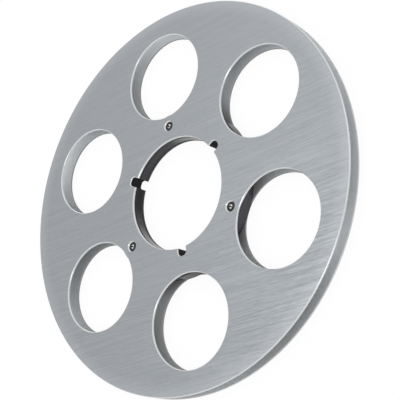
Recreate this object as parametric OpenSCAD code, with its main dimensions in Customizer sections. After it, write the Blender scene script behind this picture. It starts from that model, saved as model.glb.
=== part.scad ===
// Empty 265 mm tape reel with a keyed 76.2 mm centre hole.
// It lies flat on its rear flange: the reel's axis is +Z and the front face is up.

/* [Flanges] */
// Outer diameter of both flanges
flange_d = 265; // [255:0.5:300]
// Thickness of each flange
flange_t = 1.5; // [1.2:0.1:2.5]
// Chamfer on every edge of a flange's outer face
edge_chamfer = 0.5; // [0.2:0.05:0.8]
// Small edge break on every edge of a flange's inner face
inner_break = 0.2; // [0.05:0.05:0.3]

/* [Windows] */
// Number of round windows in each flange
window_count = 6; // [3:1:7]
// Diameter of a window
window_d = 61.4; // [40:0.1:66]
// Diameter of the circle that the windows are centred on
window_circle_d = 173.6; // [170:0.2:182]

/* [Hub] */
// Diameter of the wall that the tape winds on
hub_d = 114.3; // [108:0.1:120]
// Diameter of the centre hole, through the hub and both flanges
bore_d = 76.2; // [70:0.1:80]
// Space between the flanges, which is the hub's width
tape_gap = 8; // [7:0.1:14]
// Edge break on the hub's corners
hub_break = 0.2; // [0.05:0.05:0.5]

/* [Keyways] */
// Number of keyways round the centre hole
keyway_count = 3; // [1:1:6]
// Width of a keyway
keyway_w = 6.4; // [5:0.1:8]
// Depth of a keyway outward from the wall of the centre hole
keyway_depth = 5.6; // [4:0.1:6]
// Radius of a keyway's two inner corners
keyway_corner_r = 2.4; // [1:0.1:2.5]

/* [Screws] */
// Number of screws in each face
screw_count = 3; // [2:1:6]
// Diameter of the circle that the screws are centred on
screw_circle_d = 97.6; // [96:0.1:101]
// Diameter of a screw's thread
screw_d = 3; // [2.5:0.1:3.5]
// Diameter of a screw's countersunk head
screw_head_d = 6; // [5:0.1:6.4]
// Height of the straight rim above the head's cone
screw_head_land = 0.2; // [0.1:0.05:0.4]
// Depth of the head's flat top below the flange's face
screw_recess = 0.55; // [0.1:0.05:0.8]
// Space between the tips of a front screw and the rear screw opposite it
screw_tip_gap = 1.9; // [0.5:0.1:3]
// Chamfer at a screw's tip
screw_tip_chamfer = 0.4; // [0.1:0.1:0.8]
// Width across the flats of the hexagonal socket
socket_w = 2.5; // [1.5:0.1:2.8]
// Depth of the straight part of the socket
socket_depth = 1.1; // [0.6:0.1:1.4]

/* [Fits] */
// Clearance between a screw head's cone and its countersink, along the screw
seat_gap = 0.05; // [0.02:0.01:0.1]
// Clearance round a screw's thread in its hole
thread_gap = 0.05; // [0.02:0.01:0.1]

/* [Hidden] */
$fn = 180;
flange_r = flange_d / 2;
window_r = window_d / 2;
window_circle_r = window_circle_d / 2;
hub_r = hub_d / 2;
bore_r = bore_d / 2;
keyway_end = bore_r + keyway_depth;
screw_r = screw_d / 2;
screw_head_r = screw_head_d / 2;
screw_circle_r = screw_circle_d / 2;
// Heights of the hub's two faces and of the front face
hub_bottom = flange_t;
hub_top = hub_bottom + tape_gap;
reel_t = hub_top + flange_t;
// Length of a screw, from its flat top to its tip
screw_l = (reel_t - screw_tip_gap) / 2 - screw_recess;
// The head's cone and its countersink both slope at 45 degrees
head_cone_h = screw_head_r - screw_r;
seat_mouth_r = screw_head_r + screw_head_land + screw_recess + seat_gap;
screw_hole_r = screw_r + thread_gap;
// The socket ends in the cone that its drill leaves, a little narrower than the hexagon
socket_drill_r = 0.45 * socket_w;
socket_point_h = socket_drill_r / 2;
// The first screw and the first window stand on -Y, and the keyways stand midway between the screws
first_angle = -90;
keyway_angle = first_angle + 180 / keyway_count;
// How far a cutting solid runs past the face that it cuts
past = 1;
FRONT_SCREWS = [for (i = [1:screw_count]) str("front_screw_", i)];
REAR_SCREWS = [for (i = [1:screw_count]) str("rear_screw_", i)];

// Copies its children round the axis, the first one at the angle start
module around(count, start) {
    for (i = [0:count - 1])
        rotate([0, 0, start + i * 360 / count])
            children();
}

// A ring with broken edges: low and high are the breaks at its bottom and top
module ring(inner_r, outer_r, h, low, high) {
    rotate_extrude()
        polygon([
            [inner_r + low, 0],
            [outer_r - low, 0],
            [outer_r, low],
            [outer_r, h - high],
            [outer_r - high, h],
            [inner_r + high, h],
            [inner_r, h - high],
            [inner_r, low]
        ]);
}

// The cut for a round hole of a plate of height h, with broken edges
module hole_cut(r, h, low, high) {
    translate([0, 0, -past])
        cylinder(h = h + 2 * past, r = r);
    translate([0, 0, -past])
        cylinder(h = low + past, r1 = r + low + past, r2 = r);
    translate([0, 0, h - high])
        cylinder(h = high + past, r1 = r, r2 = r + high + past);
}

// A keyway's straight cut from height 0 to h
module keyway_straight(h) {
    flat_w = keyway_w - 2 * keyway_corner_r;
    corner_x = keyway_end - keyway_corner_r;
    translate([0, -keyway_w / 2, 0])
        cube([corner_x, keyway_w, h]);
    translate([0, -flat_w / 2, 0])
        cube([keyway_end, flat_w, h]);
    for (side = [-1, 1])
        translate([corner_x, side * flat_w / 2, 0])
            cylinder(h = h, r = keyway_corner_r);
}

// The 45 degree flare of a keyway's edge: it starts at height 0 and widens upward by size
module keyway_flare(size) {
    flat_w = keyway_w - 2 * keyway_corner_r;
    corner_x = keyway_end - keyway_corner_r;
    half_w = keyway_w / 2;
    rotate([90, 0, 90])
        linear_extrude(corner_x)
            polygon([[-half_w, 0], [half_w, 0], [half_w + size, size], [-half_w - size, size]]);
    rotate([90, 0, 0])
        linear_extrude(flat_w, center = true)
            polygon([[0, 0], [keyway_end, 0], [keyway_end + size, size], [0, size]]);
    for (side = [-1, 1])
        translate([corner_x, side * flat_w / 2, 0])
            cylinder(h = size, r1 = keyway_corner_r, r2 = keyway_corner_r + size);
}

// The cut for a keyway of a plate of height h, with broken edges
module keyway_cut(h, low, high) {
    translate([0, 0, -past])
        keyway_straight(h + 2 * past);
    translate([0, 0, h - high])
        keyway_flare(high + past);
    translate([0, 0, low])
        mirror([0, 0, 1])
            keyway_flare(low + past);
}

// The cut for a screw head's countersink, which opens upward at height 0
module countersink_cut() {
    seat_h = seat_mouth_r - screw_hole_r;
    translate([0, 0, -seat_h])
        cylinder(h = seat_h + past, r1 = screw_hole_r, r2 = seat_mouth_r + past);
}

// One flange with its inner face at height 0 and its outer face up
module flange() {
    difference() {
        ring(bore_r, flange_r, flange_t, inner_break, edge_chamfer);
        around(window_count, first_angle)
            translate([window_circle_r, 0, 0])
                hole_cut(window_r, flange_t, inner_break, edge_chamfer);
        around(keyway_count, keyway_angle)
            keyway_cut(flange_t, inner_break, edge_chamfer);
        around(screw_count, first_angle)
            translate([screw_circle_r, 0, 0]) {
                translate([0, 0, flange_t])
                    countersink_cut();
                translate([0, 0, -past])
                    cylinder(h = flange_t + past, r = screw_hole_r);
            }
    }
}

module front_flange() {
    color([0.66, 0.68, 0.69])
        translate([0, 0, hub_top])
            flange();
}

module rear_flange() {
    color([0.62, 0.64, 0.65])
        translate([0, 0, hub_bottom])
            mirror([0, 0, 1])
                flange();
}

module hub() {
    color([0.17, 0.16, 0.18])
        difference() {
            translate([0, 0, hub_bottom])
                ring(bore_r, hub_r, tape_gap, hub_break, hub_break);
            around(keyway_count, keyway_angle)
                translate([0, 0, hub_bottom - past])
                    keyway_straight(tape_gap + 2 * past);
            around(screw_count, first_angle)
                translate([screw_circle_r, 0, 0]) {
                    cylinder(h = reel_t, r = screw_hole_r);
                    translate([0, 0, reel_t])
                        countersink_cut();
                    mirror([0, 0, 1])
                        countersink_cut();
                }
        }
}

// A countersunk screw that points down, with its flat top at height 0
module screw() {
    difference() {
        rotate_extrude()
            polygon([
                [0, 0],
                [screw_head_r, 0],
                [screw_head_r, -screw_head_land],
                [screw_r, -screw_head_land - head_cone_h],
                [screw_r, -screw_l + screw_tip_chamfer],
                [screw_r - screw_tip_chamfer, -screw_l],
                [0, -screw_l]
            ]);
        translate([0, 0, -socket_depth])
            cylinder(h = socket_depth + past, d = socket_w / cos(30), $fn = 6);
        translate([0, 0, -socket_depth - socket_point_h])
            cylinder(h = socket_point_h, r1 = 0, r2 = socket_drill_r);
    }
}

// Screw number i of the front face
module front_screw(i) {
    color([0.3, 0.3, 0.31])
        rotate([0, 0, first_angle + (i - 1) * 360 / screw_count])
            translate([screw_circle_r, 0, reel_t - screw_recess])
                screw();
}

// Screw number i of the rear face
module rear_screw(i) {
    color([0.3, 0.3, 0.31])
        rotate([0, 0, first_angle + (i - 1) * 360 / screw_count])
            translate([screw_circle_r, 0, screw_recess])
                mirror([0, 0, 1])
                    screw();
}

front_flange();
rear_flange();
hub();
for (i = [1:screw_count]) {
    front_screw(i);
    rear_screw(i);
}
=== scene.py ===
import math
import bmesh
import bpy
from mathutils import Matrix, Vector


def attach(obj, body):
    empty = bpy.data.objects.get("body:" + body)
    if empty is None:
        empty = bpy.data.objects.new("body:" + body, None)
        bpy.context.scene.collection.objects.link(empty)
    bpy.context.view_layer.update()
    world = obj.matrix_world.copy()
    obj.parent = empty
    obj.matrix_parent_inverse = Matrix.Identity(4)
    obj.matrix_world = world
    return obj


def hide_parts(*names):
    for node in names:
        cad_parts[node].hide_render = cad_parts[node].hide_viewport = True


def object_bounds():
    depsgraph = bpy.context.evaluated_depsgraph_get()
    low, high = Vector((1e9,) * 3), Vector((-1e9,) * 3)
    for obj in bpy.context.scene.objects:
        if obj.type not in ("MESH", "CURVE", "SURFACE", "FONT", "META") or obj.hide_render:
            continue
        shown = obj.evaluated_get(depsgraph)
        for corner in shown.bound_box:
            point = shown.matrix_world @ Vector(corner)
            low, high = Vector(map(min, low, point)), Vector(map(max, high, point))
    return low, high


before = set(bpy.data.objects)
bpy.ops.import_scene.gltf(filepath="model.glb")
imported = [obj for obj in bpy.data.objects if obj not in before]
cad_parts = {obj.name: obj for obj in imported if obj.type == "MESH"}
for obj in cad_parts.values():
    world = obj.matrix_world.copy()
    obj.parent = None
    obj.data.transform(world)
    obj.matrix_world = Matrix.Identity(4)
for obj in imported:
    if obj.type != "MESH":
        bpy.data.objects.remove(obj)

CAD_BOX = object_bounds()

# Nodes of the frame that keep their own meshes and get a material
FLANGES = ("front_flange", "rear_flange")
HUBS = ("hub",)

# Sizes of the reel, which lies on the floor with its axis on +Z. All lengths but the lens's are in metres
FLANGE_R = CAD_BOX[1][0]
REEL_THICKNESS = CAD_BOX[1][2]
FLANGE_T = 0.0015
HUB_R = 0.05715
BORE_R = 0.0381
KEYWAY_END = 0.0437
REEL_MIDDLE = REEL_THICKNESS / 2
HUB_HALF_W = REEL_MIDDLE - FLANGE_T
# The inner faces are nearer to the middle plane than this, and the outer faces with their chamfers are not
INNER_REACH = HUB_HALF_W + 0.0008
# Walls nearer to the axis than the first of these are the centre hole's, and those past the second the rim's
BORE_REACH = BORE_R + 0.0004
RIM_REACH = FLANGE_R - 0.0020
# The keyways' walls lie between these two distances from the axis
KEYWAY_FROM = BORE_R + 0.0005
KEYWAY_TO = KEYWAY_END + 0.0013


def rgb(red, green, blue):
    """A full colour with its alpha."""
    return (red, green, blue, 1.0)


WHITE = rgb(1.0, 1.0, 1.0)
# Near black for painted shade in the keyways and along the hub's joints with the flanges
SHADE_BLACK = rgb(0.022, 0.022, 0.024)

# Sockets of a Mix node for each kind of value: its two inputs and its output
MIX_SOCKETS = {"FLOAT": (2, 3, 0), "VECTOR": (4, 5, 1), "RGBA": (6, 7, 2)}
# Detail of a noise, and of one with finer clouds
DETAIL = 2.0
FINE_DETAIL = 3.0


class Graph:
    """The nodes of one material or world, and short calls that add to them."""

    def __init__(self, owner):
        owner.use_nodes = True
        self.nodes = owner.node_tree.nodes
        self.links = owner.node_tree.links
        self.nodes.clear()

    def add(self, kind, **settings):
        node = self.nodes.new(kind)
        for key, value in settings.items():
            setattr(node, key, value)
        return node

    def link(self, source, target):
        self.links.new(source, target)

    def feed(self, target, value):
        """Links a socket to the target, or sets the target to a plain value."""
        if isinstance(value, bpy.types.NodeSocket):
            self.links.new(value, target)
        else:
            target.default_value = value

    def math(self, operation, a, b=0.0):
        node = self.add("ShaderNodeMath", operation=operation)
        self.feed(node.inputs[0], a)
        self.feed(node.inputs[1], b)
        return node.outputs[0]

    def weighted(self, *parts):
        """The sum of values, each times its own weight."""
        total = self.math("MULTIPLY", *parts[0])
        for value, weight in parts[1:]:
            total = self.math("ADD", total, self.math("MULTIPLY", value, weight))
        return total

    def span(self, value, low, high, to_low, to_high):
        """Maps low..high to to_low..to_high, and stays at either end beyond them."""
        node = self.add("ShaderNodeMapRange")
        self.feed(node.inputs["Value"], value)
        node.inputs["From Min"].default_value = low
        node.inputs["From Max"].default_value = high
        node.inputs["To Min"].default_value = to_low
        node.inputs["To Max"].default_value = to_high
        return node.outputs["Result"]

    def mix(self, kind, factor, first, second):
        node = self.add("ShaderNodeMix", data_type=kind)
        first_input, second_input, output = MIX_SOCKETS[kind]
        self.feed(node.inputs["Factor"], factor)
        self.feed(node.inputs[first_input], first)
        self.feed(node.inputs[second_input], second)
        return node.outputs[output]

    def mix_value(self, factor, first, second):
        return self.mix("FLOAT", factor, first, second)

    def mix_color(self, factor, first, second):
        return self.mix("RGBA", factor, first, second)

    def noise(self, scale, turn=0.0, detail=DETAIL):
        """Noise over object coordinates that are turned about Z and then scaled."""
        coords = self.add("ShaderNodeTexCoord")
        turned = self.add("ShaderNodeMapping", vector_type="TEXTURE")
        turned.inputs["Rotation"].default_value = (0.0, 0.0, turn)
        self.link(coords.outputs["Object"], turned.inputs["Vector"])
        scaled = self.add("ShaderNodeMapping", vector_type="POINT")
        scaled.inputs["Scale"].default_value = scale
        self.link(turned.outputs["Vector"], scaled.inputs["Vector"])
        node = self.add("ShaderNodeTexNoise")
        node.inputs["Scale"].default_value = 1.0
        node.inputs["Detail"].default_value = detail
        self.link(scaled.outputs["Vector"], node.inputs["Vector"])
        return node.outputs["Fac"]

    def spot(self):
        """Object coordinates, as outputs named X, Y and Z."""
        coords = self.add("ShaderNodeTexCoord")
        parts = self.add("ShaderNodeSeparateXYZ")
        self.link(coords.outputs["Object"], parts.inputs[0])
        return parts.outputs

    def off_middle(self):
        """Distance from the reel's middle plane."""
        return self.math("ABSOLUTE", self.math("SUBTRACT", self.spot()["Z"], REEL_MIDDLE))

    def reach(self):
        """Distance from the reel's axis."""
        coords = self.add("ShaderNodeTexCoord")
        flat = self.add("ShaderNodeVectorMath", operation="MULTIPLY")
        flat.inputs[1].default_value = (1.0, 1.0, 0.0)
        self.link(coords.outputs["Object"], flat.inputs[0])
        length = self.add("ShaderNodeVectorMath", operation="LENGTH")
        self.link(flat.outputs["Vector"], length.inputs[0])
        return length.outputs["Value"]

    def levelness(self):
        """1 where the surface faces straight up or down, and 0 where it stands upright."""
        shape = self.add("ShaderNodeNewGeometry")
        parts = self.add("ShaderNodeSeparateXYZ")
        self.link(shape.outputs["Normal"], parts.inputs[0])
        return self.math("ABSOLUTE", parts.outputs["Z"])

    def keyway_band(self, reach):
        """1 at the distances from the reel's axis where its keyways are, and 0 elsewhere."""
        outer = self.math("GREATER_THAN", reach, KEYWAY_FROM)
        return self.math("MULTIPLY", outer, self.math("LESS_THAN", reach, KEYWAY_TO))

    def bump(self, height, strength, distance):
        node = self.add("ShaderNodeBump")
        node.inputs["Strength"].default_value = strength
        node.inputs["Distance"].default_value = distance
        self.link(height, node.inputs["Height"])
        return node.outputs["Normal"]


def new_material(name):
    """A material with a Principled shader, and the graph that its other nodes go in."""
    mat = bpy.data.materials.new(name)
    g = Graph(mat)
    shader = g.add("ShaderNodeBsdfPrincipled")
    g.link(shader.outputs["BSDF"], g.add("ShaderNodeOutputMaterial").inputs["Surface"])
    return mat, shader, g


# Brushing of the flanges: its direction as an angle round +Z, and its layers of streaks. Each layer has its
# scales along and across the streaks and in height, its turn from that direction in degrees, and its weight
GRAIN_ANGLE = math.radians(-62.3)
GRAIN_LAYERS = (
    ((14.0, 1500.0, 200.0), 2.0, 0.45),
    ((45.0, 1000.0, 200.0), -4.0, 0.25),
    ((190.0, 2300.0, 200.0), 0.0, 0.30),
)
GRAIN_MEAN = 0.5
# Along X and Y together, the streaks fade from the most to the least strength over twice this distance
COARSE_REACH = 0.12
COARSE_MOST = 1.25
COARSE_LEAST = 0.62
# Broad bands along the streaks, soft clouds, and tool marks that run round every turned or milled edge
BAND_SCALE = (9.0, 300.0, 60.0)
CLOUD_SCALE = (11.0, 11.0, 11.0)
EDGE_MARK_SCALE = (25.0, 25.0, 7000.0)
# The tone of a face is made of these shares, and is dark at the first level and light at the second
GRAIN_SHARE = 0.82
BAND_SHARE = 0.06
CLOUD_SHARE = 0.12
TONE_LOW = 0.38
TONE_HIGH = 0.66

# Outer faces: dark and light brushed metal, and the power that its tone is raised to. A painted sheen
# brightens
# them towards the rim: it starts at the first distance and has its whole share at the second
BRUSHED = (rgb(0.357, 0.377, 0.397), rgb(0.427, 0.447, 0.470))
TONE_POWER = 1.6
RIM_SHEEN = rgb(0.530, 0.555, 0.582)
RIM_SHEEN_FROM = FLANGE_R - 0.0095
RIM_SHEEN_TO = RIM_REACH
RIM_SHEEN_SHARE = 0.36

# Inner faces: painted shade darkens them out to the first distance, and painted light brightens them from
# the second on, near the rim where light comes into the gap
INNER_SHADED = (rgb(0.735, 0.755, 0.768), rgb(0.759, 0.779, 0.792))
INNER_RIM_LIT = (rgb(0.802, 0.823, 0.836), rgb(0.826, 0.847, 0.860))
SHADED_TO = FLANGE_R - 0.0165
RIM_LIT_FROM = FLANGE_R - 0.0065
# Painted shade darkens them close to the hub, where the black hub is mirrored, fully up to the first
# distance and no more at the second
HUB_SHADE = rgb(0.491, 0.501, 0.512)
HUB_SHADE_FULL = HUB_R + 0.00185
HUB_SHADE_END = HUB_R + 0.01085
# Painted shade darkens them towards -X, away from the side that light comes from: its share falls to nothing
# over twice this distance
SIDE_SHADE = rgb(0.10, 0.10, 0.10)
SIDE_SHADE_SHARE = 0.18
SIDE_SHADE_REACH = 0.05
# How metallic and how rough the inner faces are
INNER_METAL = 0.5
INNER_ROUGHNESS = 0.3

# Edges: painted shade darkens the rear flange's hole walls, its centre hole more still, and all others are
# unshaded
SHADED_WALL = (rgb(0.29, 0.293, 0.296), rgb(0.36, 0.364, 0.368))
REAR_BORE_SHADE = rgb(0.10, 0.10, 0.105)
UNSHADED_WALL = (rgb(0.59, 0.60, 0.61), rgb(0.71, 0.72, 0.73))
CHAMFER = (rgb(0.70, 0.72, 0.73), rgb(0.81, 0.83, 0.84))
# How level a surface is where it starts to be a face and where it fully is one, and the same for a chamfer
FACE_LEVEL = (0.85, 0.95)
CHAMFER_LEVEL = (0.3, 0.6)

# Roughness: of a streak from its dark to its light level, and of the tool marks, less on a chamfer
STREAK_LEVELS = (0.38, 0.67)
STREAK_ROUGHNESS = (0.545, 0.29)
MARK_LEVELS = (0.3, 0.7)
MARK_ROUGHNESS = (0.40, 0.50)
CHAMFER_GLOSS = 0.18
ANISOTROPY = 0.6
# Depth of the streaks, and the shares of it that the tool marks and the inner faces' streaks have
STREAK_DEPTH = 0.00003
MARK_DEPTH_SHARE = 0.2
INNER_DEPTH_SHARE = 0.3


def brushing(g, spot):
    """The brushing's streaks, coarser towards one side of the reel than towards the other."""
    layers = []
    for scale, turn, weight in GRAIN_LAYERS:
        layers.append((g.noise(scale, GRAIN_ANGLE + math.radians(turn)), weight))
    side = g.math("ADD", spot["X"], spot["Y"])
    coarse = g.span(side, -COARSE_REACH, COARSE_REACH, COARSE_MOST, COARSE_LEAST)
    streaks = g.math("SUBTRACT", g.weighted(*layers), GRAIN_MEAN)
    return g.math("ADD", g.math("MULTIPLY", streaks, coarse), GRAIN_MEAN)


def face_tone(g, grain):
    """How light a flat face is, from its streaks, broad bands and clouds."""
    bands = g.noise(BAND_SCALE, GRAIN_ANGLE)
    clouds = g.noise(CLOUD_SCALE)
    tone = g.weighted((grain, GRAIN_SHARE), (bands, BAND_SHARE), (clouds, CLOUD_SHARE))
    return g.span(tone, TONE_LOW, TONE_HIGH, 0.0, 1.0)


def outer_color(g, tone, reach):
    """Brushed metal, with a painted sheen that brightens it near the rim."""
    brushed = g.mix_color(g.math("POWER", tone, TONE_POWER), *BRUSHED)
    # Painted sheen: lighter towards the rim
    return g.mix_color(g.span(reach, RIM_SHEEN_FROM, RIM_SHEEN_TO, 0.0, RIM_SHEEN_SHARE), brushed, RIM_SHEEN)


def inner_color(g, tone, reach, spot):
    """Satin metal, with painted light near the rim and painted shade close to the hub and towards -X."""
    # Painted shade further in, and painted light near the rim
    painted_light = g.mix_color(tone, *INNER_SHADED)
    rim_lit = g.mix_color(tone, *INNER_RIM_LIT)
    satin = g.mix_color(g.span(reach, SHADED_TO, RIM_LIT_FROM, 0.0, 1.0), painted_light, rim_lit)
    # Painted shade close to the hub
    satin = g.mix_color(g.span(reach, HUB_SHADE_FULL, HUB_SHADE_END, 0.0, 1.0), HUB_SHADE, satin)
    # Painted shade towards -X
    return g.mix_color(g.span(spot["X"], -SIDE_SHADE_REACH, SIDE_SHADE_REACH, SIDE_SHADE_SHARE, 0.0), satin, SIDE_SHADE)


def edge_color(g, marks, slope, reach, spot):
    """Walls and chamfers with their tool marks, and painted shade on the rear flange's hole walls."""
    # Painted shade on the rear flange's hole walls, darker still in its centre hole
    in_bore = g.math("LESS_THAN", reach, BORE_REACH)
    shaded = g.mix_color(in_bore, g.mix_color(marks, *SHADED_WALL), REAR_BORE_SHADE)
    front = g.math("GREATER_THAN", spot["Z"], REEL_MIDDLE)
    unshaded = g.math("MAXIMUM", front, g.math("GREATER_THAN", reach, RIM_REACH))
    wall = g.mix_color(unshaded, shaded, g.mix_color(marks, *UNSHADED_WALL))
    return g.mix_color(slope, wall, g.mix_color(marks, *CHAMFER))


def aluminium_roughness(g, grain, marks, face, inside, slope):
    """Light streaks and chamfers are smoother than dark streaks and walls."""
    flat = g.mix_value(inside, g.span(grain, *STREAK_LEVELS, *STREAK_ROUGHNESS), INNER_ROUGHNESS)
    edge = g.span(marks, *MARK_LEVELS, *MARK_ROUGHNESS)
    edge = g.math("SUBTRACT", edge, g.math("MULTIPLY", slope, CHAMFER_GLOSS))
    return g.mix_value(face, edge, flat)


def aluminium_bump(g, grain, marks, face, inside):
    """Streaks cut into the faces, and tool marks into the edges."""
    streaks = g.math("MULTIPLY", grain, g.span(inside, 0.0, 1.0, 1.0, INNER_DEPTH_SHARE))
    height = g.mix_value(face, g.math("MULTIPLY", marks, MARK_DEPTH_SHARE), streaks)
    return g.bump(height, 1.0, STREAK_DEPTH)


def aluminium():
    """Brushed outer faces, paler satin inner faces, and edges and hole walls with tool marks, with painted
    light and shade on the inner faces, rear hole walls and keyways, and a painted sheen near the rim.
    """
    mat, shader, g = new_material("brushed_aluminium")
    # Where the surface is: on a face or an edge, and outside the reel or in the gap
    spot = g.spot()
    reach = g.reach()
    off_middle = g.off_middle()
    level = g.levelness()
    face = g.span(level, *FACE_LEVEL, 0.0, 1.0)
    inside = g.math("MULTIPLY", face, g.math("LESS_THAN", off_middle, INNER_REACH))
    outside = g.math("GREATER_THAN", off_middle, INNER_REACH)
    slope = g.math("MULTIPLY", g.span(level, *CHAMFER_LEVEL, 0.0, 1.0), outside)

    grain = brushing(g, spot)
    tone = face_tone(g, grain)
    marks = g.noise(EDGE_MARK_SCALE)
    color = g.mix_color(face, edge_color(g, marks, slope, reach, spot), outer_color(g, tone, reach))
    color = g.mix_color(inside, color, inner_color(g, tone, reach, spot))
    # Painted shade: the keyways' walls are drawn nearly black, as the shade inside them
    keyway_shade = g.math("MULTIPLY", g.keyway_band(reach), g.math("SUBTRACT", 1.0, slope))
    g.link(g.mix_color(keyway_shade, color, SHADE_BLACK), shader.inputs["Base Color"])
    g.link(g.span(inside, 0.0, 1.0, 1.0, INNER_METAL), shader.inputs["Metallic"])
    g.link(aluminium_roughness(g, grain, marks, face, inside, slope), shader.inputs["Roughness"])
    g.link(aluminium_bump(g, grain, marks, face, inside), shader.inputs["Normal"])

    # Highlights stretch across the streaks on the faces, and along the axis on the edges
    across = GRAIN_ANGLE + math.pi / 2
    face_tangent = (math.cos(across), math.sin(across), 0.0)
    shader.inputs["Anisotropic"].default_value = ANISOTROPY
    g.link(g.mix("VECTOR", face, (0.0, 0.0, 1.0), face_tangent), shader.inputs["Tangent"])
    return mat


# The hub's black: scales and shares of its clouds and turned rings, where its tone is dark and light, and
# its colour and roughness from the one to the other
HUB_CLOUD_SCALE = (45.0, 45.0, 160.0)
HUB_MARK_SCALE = (22.0, 22.0, 5000.0)
HUB_CLOUD_SHARE = 0.35
HUB_MARK_SHARE = 0.65
HUB_TONE = (0.38, 0.62)
HUB_BLACK = (rgb(0.026, 0.026, 0.031), rgb(0.060, 0.060, 0.072))
HUB_ROUGHNESS = (0.28, 0.17)
HUB_SPECULAR = 0.3
HUB_MARK_DEPTH = 0.000008
# Painted shade along each flange, at the hub's joint with it, starts and is full at these distances from the
# middle plane
SEAM_FROM = HUB_HALF_W - 0.0018
SEAM_TO = HUB_HALF_W - 0.0006
MATT_ROUGHNESS = 0.8
# A painted dark reflection makes one stretch of the bore a deeper black: along X it fades in over one pair
# and out over the next
DARK_REFLECTION_BLACK = rgb(0.003, 0.003, 0.004)
DARK_REFLECTION_IN = (-0.0240, -0.0165)
DARK_REFLECTION_OUT = (-0.0040, 0.0)
# A painted reflection of the white surroundings greys two stretches of the bore: along X, fully below one
# pair and in part above the next
REFLECTION_GREY = rgb(0.34, 0.34, 0.345)
REFLECTION_GREY_LOW = (-0.0385, -0.0265)
REFLECTION_GREY_HIGH = (0.0315, 0.0360)
REFLECTION_GREY_HIGH_SHARE = 0.5


def hub_black(g, tone, in_bore):
    """Black that varies with its tone, with a painted dark reflection and painted grey reflections in some
    stretches of the bore.
    """
    x = g.spot()["X"]
    black = g.mix_color(tone, *HUB_BLACK)
    # Painted dark reflection in one stretch of the bore
    dark_reflection = g.math("MULTIPLY", g.span(x, *DARK_REFLECTION_IN, 0.0, 1.0), g.span(x, *DARK_REFLECTION_OUT, 1.0, 0.0))
    black = g.mix_color(g.math("MULTIPLY", dark_reflection, in_bore), black, DARK_REFLECTION_BLACK)
    # Painted reflection of the white surroundings in two stretches of the bore
    painted_light = g.math("ADD", g.span(x, *REFLECTION_GREY_LOW, 1.0, 0.0), g.span(x, *REFLECTION_GREY_HIGH, 0.0, REFLECTION_GREY_HIGH_SHARE))
    return g.mix_color(g.math("MULTIPLY", painted_light, in_bore), black, REFLECTION_GREY)


def black_anodised():
    """The hub's black finish over turned walls: fine rings, soft cloudy tone and a low gloss."""
    mat, shader, g = new_material("black_anodised_aluminium")
    clouds = g.noise(HUB_CLOUD_SCALE, detail=FINE_DETAIL)
    marks = g.noise(HUB_MARK_SCALE)
    tone = g.span(g.weighted((clouds, HUB_CLOUD_SHARE), (marks, HUB_MARK_SHARE)), *HUB_TONE, 0.0, 1.0)
    # The keyways' milled walls, and a seam along each flange, are matt and nearly black: painted shade in
    # these recesses and joints
    reach = g.reach()
    in_bore = g.math("LESS_THAN", reach, BORE_REACH)
    joint_shade = g.math("MULTIPLY", in_bore, g.span(g.off_middle(), SEAM_FROM, SEAM_TO, 0.0, 1.0))
    matt_shade = g.math("MAXIMUM", g.keyway_band(reach), joint_shade)
    g.link(g.mix_color(matt_shade, hub_black(g, tone, in_bore), SHADE_BLACK), shader.inputs["Base Color"])
    turned = g.span(tone, 0.0, 1.0, *HUB_ROUGHNESS)
    rough = g.math("MAXIMUM", turned, g.math("MULTIPLY", matt_shade, MATT_ROUGHNESS))
    g.link(rough, shader.inputs["Roughness"])
    g.link(g.bump(marks, 1.0, HUB_MARK_DEPTH), shader.inputs["Normal"])
    shader.inputs["Metallic"].default_value = 0.0
    shader.inputs["Specular IOR Level"].default_value = HUB_SPECULAR
    return mat


# Name of the attribute that holds the wear and the painted glint of each of a screw's vertices
WEAR_AND_GLINT_ATTRIBUTE = "wear_and_glint"
# Screw steel: its clouds, its black, the bare metal that wear and painted glints show, and where these start
# and are full
STEEL_CLOUD_SCALE = (900.0, 900.0, 900.0)
STEEL_CLOUDS = (0.3, 0.7)
STEEL_BLACK = (rgb(0.030, 0.030, 0.031), rgb(0.060, 0.059, 0.058))
STEEL_BARE_AND_GLINT = rgb(0.92, 0.91, 0.89)
STEEL_ROUGHNESS = (0.26, 0.38)
WEAR_AND_GLINT_LEVELS = (0.5, 0.8)
WEAR_AND_GLINT_CLOUDS = 0.3
STEEL_BUMP = 0.4
STEEL_DEPTH = 0.00002


def black_steel():
    """Blackened screw steel, worn bright where the key turns in the socket, in patches that are painted
    highlights.
    """
    mat, shader, g = new_material("blackened_steel")
    clouds = g.noise(STEEL_CLOUD_SCALE, detail=FINE_DETAIL)
    dark = g.mix_color(g.span(clouds, *STEEL_CLOUDS, 0.0, 1.0), *STEEL_BLACK)
    wear_and_glint = g.add("ShaderNodeAttribute", attribute_name=WEAR_AND_GLINT_ATTRIBUTE)
    wear_and_glint_level = g.math("ADD", wear_and_glint.outputs["Fac"], g.math("MULTIPLY", clouds, WEAR_AND_GLINT_CLOUDS))
    color = g.mix_color(g.span(wear_and_glint_level, *WEAR_AND_GLINT_LEVELS, 0.0, 1.0), dark, STEEL_BARE_AND_GLINT)
    g.link(color, shader.inputs["Base Color"])
    g.link(g.span(clouds, *STEEL_CLOUDS, *STEEL_ROUGHNESS), shader.inputs["Roughness"])
    g.link(g.bump(clouds, STEEL_BUMP, STEEL_DEPTH), shader.inputs["Normal"])
    shader.inputs["Metallic"].default_value = 1.0
    return mat


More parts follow.
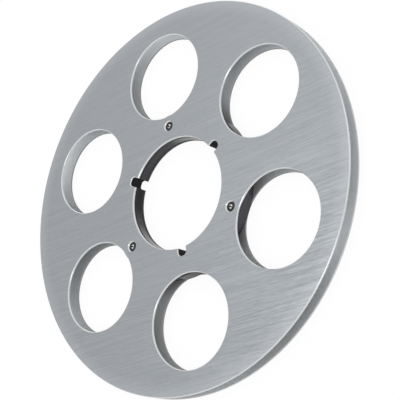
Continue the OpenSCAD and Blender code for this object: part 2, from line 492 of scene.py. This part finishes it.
# Screws: their places round the axis in degrees, and their sizes with the head's flat top at height 0
SCREW_ANGLES = (-90.0, 30.0, 150.0)
SCREW_CIRCLE_R = 0.0488
SCREW_RECESS = 0.00055
SCREW_SEGMENTS = 48
HEAD_R = 0.003
HEAD_LAND = 0.0002
SHANK_R = 0.0015
SCREW_LENGTH = 0.004
TIP_CHAMFER = 0.0004
CONE_H = HEAD_R - SHANK_R
THREAD_START = HEAD_LAND + CONE_H
SOCKET_HALF_W = 0.00125
SOCKET_DEPTH = 0.0011
SOCKET_DRILL_R = 0.9 * SOCKET_HALF_W
SOCKET_POINT_H = SOCKET_DRILL_R / 2
SOCKET_MOUTH_R = 0.00152
SOCKET_MOUTH_DEPTH = 0.00016
MOUTH_RIM_R = 1.06 * SOCKET_MOUTH_R
EDGE_ROUND = 0.00008
THREAD_PITCH = 0.0005
THREAD_DEPTH = 0.00027
ROWS_PER_TURN = 8
SHARP_ANGLE = math.radians(30.0)
# Rings of the drilled point under the socket: each one's share of its radius, and its wear and painted glint
DRILL_RINGS = ((0.4, 0.9), (0.7, 1.0), (1.0, 1.0))
# Rings that round the head's edge: how far in from the rim and down from the top, times EDGE_ROUND, and wear
# and painted glint
HEAD_EDGE = ((2.0, 0.0, 0.0), (1.0, 0.15, 0.1), (0.3, 0.6, 0.1), (0.0, 1.3, 0.0))
# The key's wear, drawn as painted glints, starts and is full at these distances from the middle of a socket,
# and is weaker on one side
GLINT_FROM = 0.0002
GLINT_TO = 0.00055
WEAKER_GLINT = 0.75


def hex_radius(angle):
    """Distance from the axis to the wall of the hexagonal socket."""
    side = math.pi / 3
    return SOCKET_HALF_W / math.cos(math.fmod(angle, side) - side / 2)


def thread_radius(angle, z):
    """Radius of the screw's V thread, which fades in below the head and ends in the tip's chamfer."""
    phase = math.fmod(-z / THREAD_PITCH + angle / (2 * math.pi), 1.0)
    groove = abs(2 * phase - 1)
    fade = min(1.0, max(0.0, (-z - THREAD_START) / THREAD_PITCH))
    tip = max(0.0, -z - (SCREW_LENGTH - TIP_CHAMFER))
    return min(SHANK_R - THREAD_DEPTH * groove * fade, SHANK_R - tip)


def gleam(offset):
    """How bright the key's wear and the painted glints make the socket: two patches on either side of a dark
    middle.
    """
    wear_and_glint_level = min(1.0, max(0.0, (abs(offset) - GLINT_FROM) / (GLINT_TO - GLINT_FROM)))
    return wear_and_glint_level if offset > 0 else WEAKER_GLINT * wear_and_glint_level


def round_ring(radius, z, wear_and_glint=0.0):
    """A plain round ring of the screw."""
    return (lambda angle: radius, z, wear_and_glint)


def drill_ring(share, wear_and_glint):
    """A ring of the drilled cone under the socket, at a share of its radius."""
    return round_ring(share * SOCKET_DRILL_R, -SOCKET_DEPTH - (1 - share) * SOCKET_POINT_H, wear_and_glint)


def thread_ring(z):
    """A ring of the screw's thread."""
    return (lambda angle: thread_radius(angle, z), z, 0.0)


def screw_rings():
    """The screw from the bottom of its socket to its tip: each ring's radius function, height, and wear and
    painted glint.
    """
    rings = [drill_ring(share, wear_and_glint) for share, wear_and_glint in DRILL_RINGS]
    for depth in (SOCKET_DEPTH, SOCKET_DEPTH / 2, SOCKET_MOUTH_DEPTH):
        rings.append((hex_radius, -depth, 1.0))
    rings.append(round_ring(SOCKET_MOUTH_R, 0.0))
    rings.append(round_ring(MOUTH_RIM_R, 0.0))
    for inward, down, wear_and_glint in HEAD_EDGE:
        rings.append(round_ring(HEAD_R - inward * EDGE_ROUND, -down * EDGE_ROUND, wear_and_glint))
    rings.append(round_ring(HEAD_R, -HEAD_LAND))
    rings.append(round_ring(HEAD_R - CONE_H / 2, -HEAD_LAND - CONE_H / 2))
    rings.append(round_ring(SHANK_R, -THREAD_START))
    thread_l = SCREW_LENGTH - THREAD_START
    count = int(thread_l / THREAD_PITCH * ROWS_PER_TURN)
    for row in range(1, count + 1):
        rings.append(thread_ring(-THREAD_START - thread_l * row / count))
    return rings


def add_rows(bm, turned):
    """Adds the screw's rings of vertices, with their wear and painted glints along the reel's X."""
    wear_and_glint_layer = bm.verts.layers.float.new(WEAR_AND_GLINT_ATTRIBUTE)
    rows = []
    for radius, z, wear_and_glint in screw_rings():
        row = []
        for i in range(SCREW_SEGMENTS):
            turn = 2 * math.pi * i / SCREW_SEGMENTS
            r = radius(turn)
            vert = bm.verts.new((r * math.cos(turn), r * math.sin(turn), z))
            # Painted glints: the wear shows as two bright patches along the reel's X, the one side weaker
            vert[wear_and_glint_layer] = wear_and_glint * gleam(r * math.cos(turn + turned))
            row.append(vert)
        rows.append(row)
    return rows


def add_faces(bm, rows):
    """Joins each ring to the next, and closes the socket with a point and the tip with a flat."""
    for upper, lower in zip(rows, rows[1:]):
        for i in range(SCREW_SEGMENTS):
            k = (i + 1) % SCREW_SEGMENTS
            bm.faces.new((upper[i], lower[i], lower[k], upper[k]))
    point = bm.verts.new((0.0, 0.0, -SOCKET_DEPTH - SOCKET_POINT_H))
    for i in range(SCREW_SEGMENTS):
        bm.faces.new((rows[0][(i + 1) % SCREW_SEGMENTS], point, rows[0][i]))
    bm.faces.new(list(reversed(rows[-1])))
    bmesh.ops.recalc_face_normals(bm, faces=bm.faces)


def screw_seat(turn, front):
    """The place of a screw in the front or the rear face, where it stands upside down."""
    seat = Vector((SCREW_CIRCLE_R * math.cos(turn), SCREW_CIRCLE_R * math.sin(turn), SCREW_RECESS))
    if front:
        seat.z = REEL_THICKNESS - SCREW_RECESS
        return Matrix.Translation(seat) @ Matrix.Rotation(turn, 4, "Z")
    upside_down = Matrix.Rotation(math.pi, 4, "X")
    return Matrix.Translation(seat) @ upside_down @ Matrix.Rotation(-turn, 4, "Z")


def screw_mesh(name, turn, front):
    """One countersunk socket screw, built ring by ring and set in its seat."""
    bm = bmesh.new()
    add_faces(bm, add_rows(bm, turn if front else -turn))
    mesh = bpy.data.meshes.new(name)
    bm.to_mesh(mesh)
    bm.free()
    mesh.transform(screw_seat(turn, front))
    mesh.shade_smooth()
    mesh.set_sharp_from_angle(angle=SHARP_ANGLE)
    return mesh


def make_screws(mat):
    """Detailed screws that take the place of the frame's plain ones."""
    for front in (True, False):
        for number, angle in enumerate(SCREW_ANGLES, start=1):
            node = ("front" if front else "rear") + "_screw_" + str(number)
            mesh = screw_mesh(node + "_detail", math.radians(angle), front)
            mesh.materials.append(mat)
            screw = bpy.data.objects.new(node + "_detail", mesh)
            bpy.context.scene.collection.objects.link(screw)
            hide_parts(node)
            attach(screw, "root")


def dress(names, mat):
    """Puts one material on nodes that keep their own meshes."""
    for name in names:
        for slot in bpy.data.objects[name].material_slots:
            slot.material = mat


# Camera: where it stands, the point in the middle of its view, its turn about its own axis, its lens and
# sensor in millimetres, and the nearest and farthest that it sees
CAMERA_PLACE = Vector((-0.03048, -0.45442, 0.47592))
CAMERA_AIM = Vector((-0.00052, -0.01782, 0.0055))
CAMERA_ROLL = math.radians(-70.40)
CAMERA_LENS = 89.52
CAMERA_SENSOR = 36.0
CAMERA_NEAR = 0.01
CAMERA_FAR = 20.0


def aimed(place, aim):
    """The matrix of a camera or lamp that stands at one point and looks at another."""
    return Matrix.Translation(place) @ (aim - place).to_track_quat("-Z", "Y").to_matrix().to_4x4()


def make_camera():
    data = bpy.data.cameras.new("camera")
    data.lens = CAMERA_LENS
    data.sensor_width = CAMERA_SENSOR
    data.clip_start = CAMERA_NEAR
    data.clip_end = CAMERA_FAR
    camera = bpy.data.objects.new("camera", data)
    camera.matrix_world = aimed(CAMERA_PLACE, CAMERA_AIM) @ Matrix.Rotation(CAMERA_ROLL, 4, "Z")
    bpy.context.scene.collection.objects.link(camera)
    bpy.context.scene.camera = camera


# Floor: half its width, its pale colour, its plain glow, and how much of that the camera and reflections see
FLOOR_HALF_W = 6.0
FLOOR_COLOR = rgb(0.9, 0.9, 0.9)
FLOOR_GLOW = 1.02
CAMERA_SHARE = 0.9
MIRROR_SHARE = 0.48


def floor_material():
    """Pale and matt, so that it takes the reel's shadow, with some plain white over it."""
    mat = bpy.data.materials.new("floor")
    g = Graph(mat)
    diffuse = g.add("ShaderNodeBsdfDiffuse")
    diffuse.inputs["Color"].default_value = FLOOR_COLOR
    glow = g.add("ShaderNodeEmission")
    glow.inputs["Color"].default_value = WHITE
    glow.inputs["Strength"].default_value = FLOOR_GLOW
    rays = g.add("ShaderNodeLightPath").outputs
    mix = g.add("ShaderNodeMixShader")
    share = g.weighted((rays["Is Glossy Ray"], MIRROR_SHARE), (rays["Is Camera Ray"], CAMERA_SHARE))
    g.link(share, mix.inputs["Fac"])
    g.link(diffuse.outputs[0], mix.inputs[1])
    g.link(glow.outputs[0], mix.inputs[2])
    g.link(mix.outputs[0], g.add("ShaderNodeOutputMaterial").inputs["Surface"])
    return mat


def make_floor():
    mesh = bpy.data.meshes.new("floor")
    low, high = -FLOOR_HALF_W, FLOOR_HALF_W
    corners = [(low, low, 0), (high, low, 0), (high, high, 0), (low, high, 0)]
    mesh.from_pydata(corners, [], [(0, 1, 2, 3)])
    mesh.materials.append(floor_material())
    floor = bpy.data.objects.new("floor", mesh)
    bpy.context.scene.collection.objects.link(floor)


# Strength of the room's even light, and of the plain white that the camera sees in its place
ROOM_LIGHT = 0.86
ROOM_WHITE = 1.0


def white_background(g, strength):
    node = g.add("ShaderNodeBackground")
    node.inputs["Color"].default_value = WHITE
    node.inputs["Strength"].default_value = strength
    return node.outputs[0]


def make_world():
    world = bpy.data.worlds.new("studio")
    bpy.context.scene.world = world
    g = Graph(world)
    mix = g.add("ShaderNodeMixShader")
    g.link(g.add("ShaderNodeLightPath").outputs["Is Camera Ray"], mix.inputs["Fac"])
    g.link(white_background(g, ROOM_LIGHT), mix.inputs[1])
    g.link(white_background(g, ROOM_WHITE), mix.inputs[2])
    g.link(mix.outputs[0], g.add("ShaderNodeOutputWorld").inputs["Surface"])


# Soft lights: name, azimuth and elevation in degrees, distance, width, height, and power in watts
LIGHTS = (
    ("key_light", 112.0, 74.0, 1.2, 0.7, 0.7, 1.65),
    ("back_strip", 70.0, 6.0, 1.5, 1.4, 0.3, 0.8),
    ("side_light", 20.0, 45.0, 1.4, 0.8, 0.8, 0.5),
    ("right_light", -40.0, 20.0, 1.5, 0.8, 0.8, 0.25),
    ("front_light", -103.0, 42.0, 1.5, 0.45, 0.45, 0.8),
)


def area_light(name, azimuth, elevation, distance, width, height, power):
    """A soft light that aims at the reel from the given direction."""
    data = bpy.data.lights.new(name, "AREA")
    data.shape = "RECTANGLE"
    data.size = width
    data.size_y = height
    data.energy = power
    lamp = bpy.data.objects.new(name, data)
    az, el = math.radians(azimuth), math.radians(elevation)
    place = distance * Vector((math.cos(el) * math.cos(az), math.cos(el) * math.sin(az), math.sin(el)))
    lamp.matrix_world = aimed(place, Vector())
    bpy.context.scene.collection.objects.link(lamp)


make_camera()
make_floor()
make_world()
for light in LIGHTS:
    area_light(*light)
dress(FLANGES, aluminium())
dress(HUBS, black_anodised())
make_screws(black_steel())

bpy.context.scene.view_settings.view_transform = "Standard"
